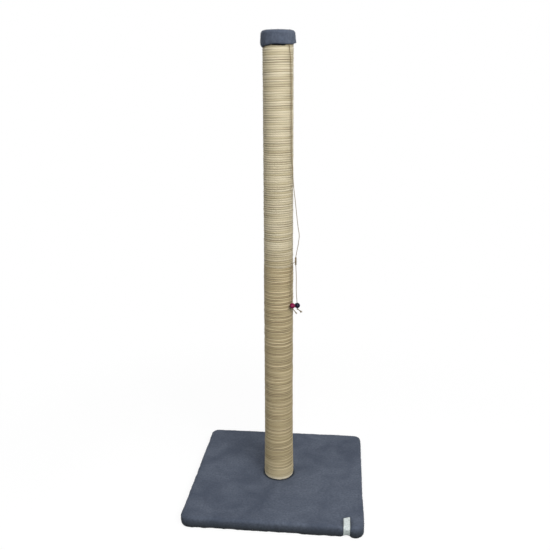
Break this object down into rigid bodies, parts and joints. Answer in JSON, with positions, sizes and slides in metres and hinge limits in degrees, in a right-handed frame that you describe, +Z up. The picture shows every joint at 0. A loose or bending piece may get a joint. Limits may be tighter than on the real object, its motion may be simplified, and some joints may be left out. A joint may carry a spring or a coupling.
{
  "type": "cat scratching post",
  "caption": "Rope-wound round post with a plush cap on a plush-covered square base, with a twine and bead toy hanging from the cap.",
  "frame": {"origin": "middle of the square base, on the floor", "axes": "+Z up along the post, -Y towards the edge that carries the label, +X to the right seen from that edge"},
  "size_m": [0.41, 0.41, 1.0761],
  "materials": {
    "plush": "short-pile blue-grey plush",
    "lower_rope": "close-wound natural rope, browner",
    "upper_rope": "close-wound natural rope, paler",
    "cardboard": "wound brown board",
    "board": "raw fibreboard",
    "moulding": "moulded black plastic",
    "steel": "zinc-plated steel",
    "ribbon": "blank white woven ribbon",
    "twine": "twisted natural twine",
    "magenta_bead": "gloss",
    "navy_bead": "gloss"
  },
  "bodies": {
    "stand": {"base_board": "board", "base_cover": "plush", "label": "ribbon", "base_bolt": "steel", "base_washer": "steel", "hem_staple_01": "steel", "hem_staple_02": "steel", "hem_staple_03": "steel", "hem_staple_04": "steel", "hem_staple_05": "steel", "hem_staple_06": "steel", "hem_staple_07": "steel", "hem_staple_08": "steel", "hem_staple_09": "steel", "hem_staple_10": "steel", "hem_staple_11": "steel", "hem_staple_12": "steel", "hem_staple_13": "steel", "hem_staple_14": "steel", "hem_staple_15": "steel", "hem_staple_16": "steel", "lower_foot_plug": "moulding", "lower_foot_insert": "steel", "lower_tube": "cardboard", "lower_head_plug": "moulding", "lower_head_insert": "steel", "lower_rope": "lower_rope", "joining_stud": "steel", "upper_foot_plug": "moulding", "upper_foot_insert": "steel", "upper_tube": "cardboard", "upper_rope": "upper_rope", "top_disc": "board", "cap_cover": "plush", "twine_staple": "steel", "held_twine": "twine"},
    "hanger": {"toy_hanger": "twine"},
    "toy": {"toy_cord": "twine", "toy_knot": "twine"},
    "left_tassel": {"left_strand": "twine", "left_end_knot": "twine"},
    "right_tassel": {"right_strand": "twine", "right_end_knot": "twine"},
    "left_bead": {"magenta_bead": "magenta_bead"},
    "right_bead": {"navy_bead": "navy_bead"}
  },
  "joints": [
    {"name": "toy_swing_sideways", "type": "hinge", "parent": "stand", "child": "hanger", "pos_m": [0.02589, -0.02456, 1.0455], "axis": [0.6756, -0.7373, 0], "range_deg": [-80, 80]},
    {"name": "toy_swing_outward", "type": "hinge", "parent": "hanger", "child": "toy", "pos_m": [0.02914, -0.02191, 1.0069], "axis": [-0.7373, -0.6756, 0], "range_deg": [0, 85]},
    {"name": "left_tassel_swing", "type": "hinge", "parent": "toy", "child": "left_tassel", "pos_m": [0.03822, -0.01788, 0.578], "axis": [-0.6756, 0.7373, 0], "range_deg": [0, 60]},
    {"name": "right_tassel_swing", "type": "hinge", "parent": "toy", "child": "right_tassel", "pos_m": [0.04109, -0.01524, 0.5693], "axis": [0.6756, -0.7373, 0], "range_deg": [0, 75]},
    {"name": "left_bead_slide", "type": "slide", "parent": "left_tassel", "child": "left_bead", "axis": [-0.109, -0.0617, 0.9921], "range_m": [0, 0.02]},
    {"name": "right_bead_slide", "type": "slide", "parent": "right_tassel", "child": "right_bead", "axis": [-0.0622, -0.0112, 0.998], "range_m": [0, 0.02]}
  ]
}
